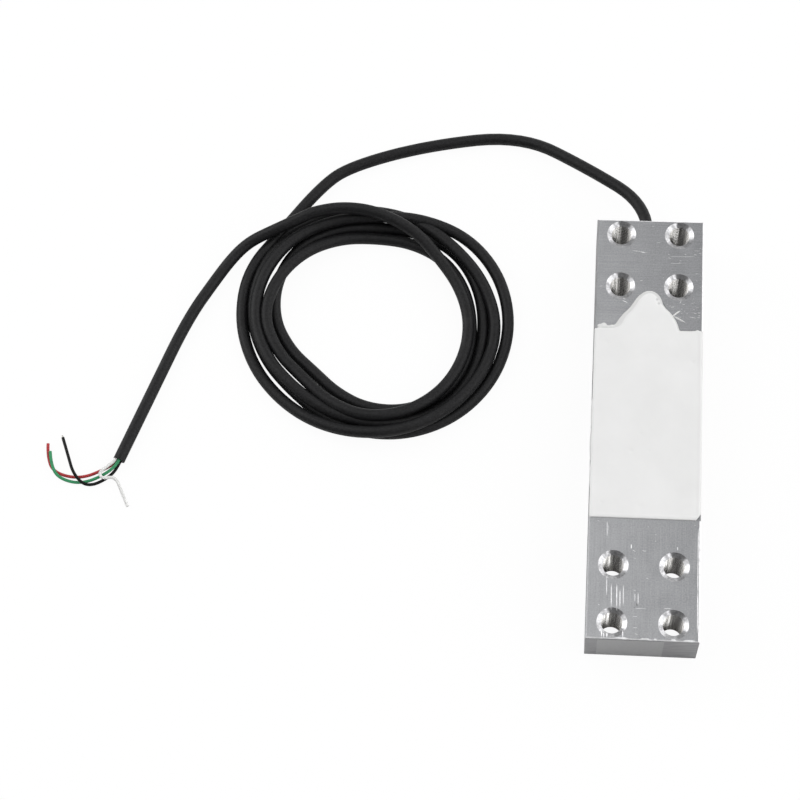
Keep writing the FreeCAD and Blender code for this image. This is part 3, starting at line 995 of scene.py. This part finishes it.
finished_piece("strand_ends", stubs, tinned_strand)

# %% [markdown]
# ## The table
# The part lies on a white table. A plain white floor would come out grey in soft light, and a brighter
# lamp would wash out the metal. So the table glows, but only where the camera looks at it: the part
# is lit by the studio alone, and the table stays white and still takes a faint shadow.

# %% Table
table_half = 4.0
table_drop = 0.00005
glow_level = 0.95
table_mesh = bpy.data.meshes.new("table")
corners = [(-table_half, -table_half, 0), (table_half, -table_half, 0), (table_half, table_half, 0),
           (-table_half, table_half, 0)]
table_mesh.from_pydata(corners, [], [(0, 1, 2, 3)])
table = link("table", table_mesh)
table.location.z = -table_drop
table_white = Finish("white_table", (0.9, 0.9, 0.9), 0.9)
seen = table_white.node("LightPath").outputs["Is Camera Ray"]
glow_share = table_white.node("Math", {0: seen, 1: glow_level}, operation="MULTIPLY").outputs[0]
glow = table_white.node("Emission", {"Color": (1, 1, 1, 1), "Strength": 1.0}).outputs[0]
looks = {0: glow_share, 1: table_white.shader.outputs[0], 2: glow}
surface = table_white.node("MixShader", looks).outputs[0]
output = table_white.material.node_tree.nodes["Material Output"]
table_white.material.node_tree.links.new(surface, output.inputs["Surface"])
table_white.paint(table)
print("a table of", 2 * table_half, "m that glows for the camera")

# %% [markdown]
# ## The studio
# Bright metal shows what stands around it, so the light is built from what the bores and rings show.
# The sky is dim, dimmest behind the camera, which draws the dark bands in the bores and keeps the plain
# end darker than the top. Bright panels stand in it on the left and on the right, and they give the
# rings and the walls of the bores their white sides. A picture of a studio would do the same, but
# panels with soft edges need only a few numbers. Two soft boxes add the faint shadows.

# %% Sky
world = bpy.data.worlds.new("studio")
world.use_nodes = True
scene.world = world
sky = world.node_tree.nodes["Background"]
sky.inputs["Color"].default_value = (1, 1, 1, 1)


def sky_node(kind, values, **settings):
    """Adds a node to the sky; a socket given as a value is linked, and any other value is set."""
    node = world.node_tree.nodes.new("ShaderNode" + kind)
    for key, value in settings.items():
        setattr(node, key, value)
    for key, value in values.items():
        if isinstance(value, bpy.types.NodeSocket):
            world.node_tree.links.new(value, node.inputs[key])
        else:
            node.inputs[key].default_value = value
    return node


def ramp(value, start, end, low, high):
    """A value that goes from low to high between start and end."""
    limits = {"Value": value, "From Min": start, "From Max": end, "To Min": low, "To Max": high}
    return sky_node("MapRange", limits).outputs["Result"]


def combined(operation, first, second):
    """Two values put together."""
    return sky_node("Math", {0: first, 1: second}, operation=operation).outputs[0]


direction = sky_node("TexCoord", {}).outputs["Generated"]
toward = sky_node("SeparateXYZ", {0: direction}).outputs
camera_side, cable_side = 0.2, 0.43
dusk_start, dusk_end = -0.22, 0.3
brightness = ramp(toward["Y"], dusk_start, dusk_end, camera_side, cable_side)
print("sky from", camera_side, "behind the camera to", cable_side, "beyond the cable end")

# %% Bright panels
panel_edge = 0.1


def panel(left, right, near, far, level, slant=0.0):
    """A soft-edged bright panel in the sky, given by the X and Y directions that it spans; slant leans
    its sides."""
    glare = level
    sideways = combined("ADD", toward["X"], combined("MULTIPLY", toward["Y"], slant))
    for value, start, end in ((sideways, left, right), (toward["Y"], near, far)):
        rise = ramp(value, start, start + panel_edge, 0, 1)
        fall = ramp(value, end - panel_edge, end, 1, 0)
        glare = combined("MULTIPLY", glare, combined("MULTIPLY", rise, fall))
    return glare


panels = [
    panel(0.09, 0.4, -0.85, 0.27, level=2.1, slant=0.32),
    panel(0.3, 0.66, -0.2, 0.27, level=1.65, slant=0.32),
    panel(0.55, 1.2, -1.2, 0.1, level=1.0),
    panel(0.72, 1.2, 0.0, 1.2, level=1.0),
    panel(-1.5, -0.12, -0.18, 0.68, level=1.15, slant=-0.34),
    panel(-1.2, -0.5, -0.36, -0.1, level=1.3),
    panel(-0.2, 1.2, 0.75, 1.2, level=0.6),
    panel(0.35, 0.8, 0.3, 0.85, level=1.7),
]
for glare in panels:
    brightness = combined("ADD", brightness, glare)
world.node_tree.links.new(brightness, sky.inputs["Strength"])
print(len(panels), "bright panels")

# %% Soft boxes
light_aim = mm(-60, 20, 0)


def softbox(name, place, size, power):
    """A square lamp that looks at the part."""
    light = bpy.data.lights.new(name, "AREA")
    light.shape = "RECTANGLE"
    light.size = size
    light.size_y = size
    light.energy = power
    lamp = link(name, light)
    lamp.location = place
    lamp.rotation_euler = (light_aim - Vector(place)).to_track_quat("-Z", "Y").to_euler()
    print(name, power, "W")


softbox("left_softbox", (-0.95, 0.35, 0.6), 0.6, 2.0)
softbox("right_softbox", (0.85, -0.1, 0.6), 0.7, 2.0)
scene.view_settings.view_transform = "Standard"

# %% [markdown]
# ## Last update
# The scene is brought up to date at the end.

# %% Update
bpy.context.view_layer.update()
